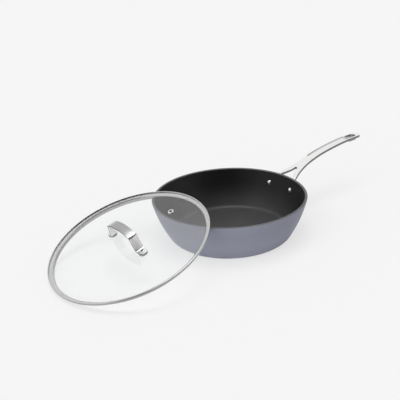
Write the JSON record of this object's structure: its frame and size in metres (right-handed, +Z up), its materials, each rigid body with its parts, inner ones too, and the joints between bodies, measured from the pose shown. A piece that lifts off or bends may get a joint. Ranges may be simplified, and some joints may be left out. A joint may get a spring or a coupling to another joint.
{
  "type": "deep frying pan with lid",
  "caption": "Deep round frying pan, painted outside and dark non-stick inside, with a forked steel handle and a loose glass lid in a steel band that leans on its rim.",
  "frame": {"origin": "centre of the pan's flat underside, on the surface that it stands on", "axes": "+Z up, +X along the pan's handle; the lid leans on the rim on the other side, near -X"},
  "size_m": [0.7098, 0.2933, 0.104],
  "materials": {
    "painted_aluminium": "satin",
    "nonstick_coating": "satin",
    "plate_steel": "satin",
    "cast_steel": "satin",
    "rivet_steel": "polished",
    "tempered_glass": "gloss",
    "band_steel": "polished",
    "strap_steel": "satin",
    "silicone": "matte"
  },
  "bodies": {
    "pan": {"pan_body": "painted_aluminium", "nonstick_lining": "nonstick_coating", "induction_plate": "plate_steel", "pan_handle": "cast_steel", "pan_rivet_near": "rivet_steel", "pan_rivet_far": "rivet_steel"},
    "lid": {"lid_glass": "tempered_glass", "lid_rim": "band_steel", "vent_eyelet": "rivet_steel", "lid_handle": "strap_steel", "lid_rivet_near": "rivet_steel", "lid_rivet_far": "rivet_steel", "upper_gasket_near": "silicone", "upper_gasket_far": "silicone", "lower_gasket_near": "silicone", "lower_gasket_far": "silicone", "steel_washer_near": "rivet_steel", "steel_washer_far": "rivet_steel"}
  },
  "joints": [
    {"name": "lid_lift", "type": "slide", "parent": "pan", "child": "lid", "axis": [0, 0, 1], "range_m": [0, 0.12]}
  ]
}
